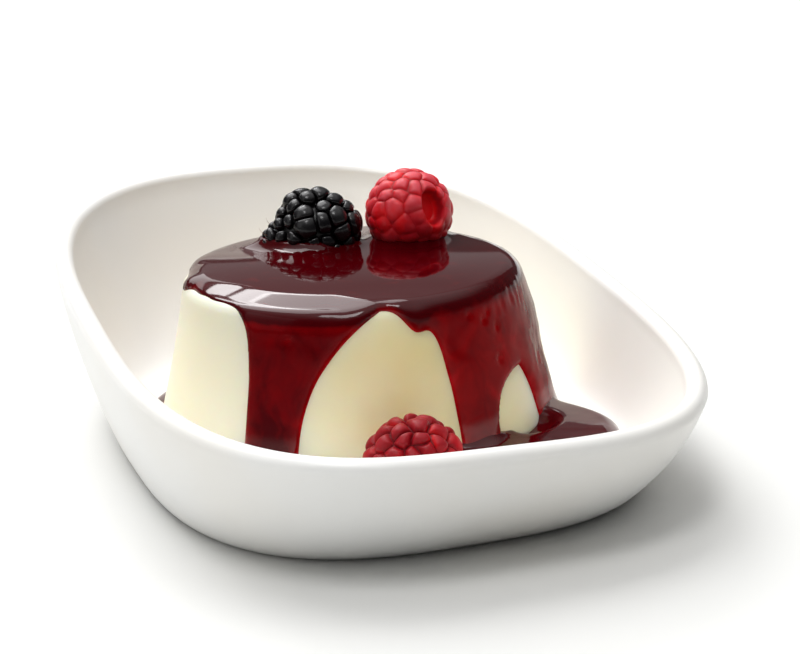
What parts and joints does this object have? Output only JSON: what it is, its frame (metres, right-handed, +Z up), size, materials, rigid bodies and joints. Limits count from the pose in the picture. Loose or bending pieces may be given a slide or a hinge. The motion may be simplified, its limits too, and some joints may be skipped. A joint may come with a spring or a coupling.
{
  "type": "panna cotta dessert in a bowl",
  "caption": "Moulded panna cotta with berry sauce and fresh berries, served in a boat-shaped white porcelain bowl.",
  "frame": {"origin": "on the surface that the bowl stands on, under the middle of the bowl's outline", "axes": "+Z up; +Y towards the bowl's high end, along its length; +X to the right, seen from the low end"},
  "size_m": [0.1112, 0.168, 0.0509],
  "materials": {
    "white_porcelain": "smooth glossy white glaze",
    "cooked_cream": null,
    "berry_sauce": null,
    "dark_berry_skin": null,
    "raspberry_skin": null
  },
  "bodies": {
    "root": {"bowl": "white_porcelain", "panna_cotta": "cooked_cream", "sauce_coat": "berry_sauce", "sauce_pool": "berry_sauce", "dark_berry": "dark_berry_skin", "raspberry_top": "raspberry_skin", "raspberry_front": "raspberry_skin"}
  },
  "joints": []
}
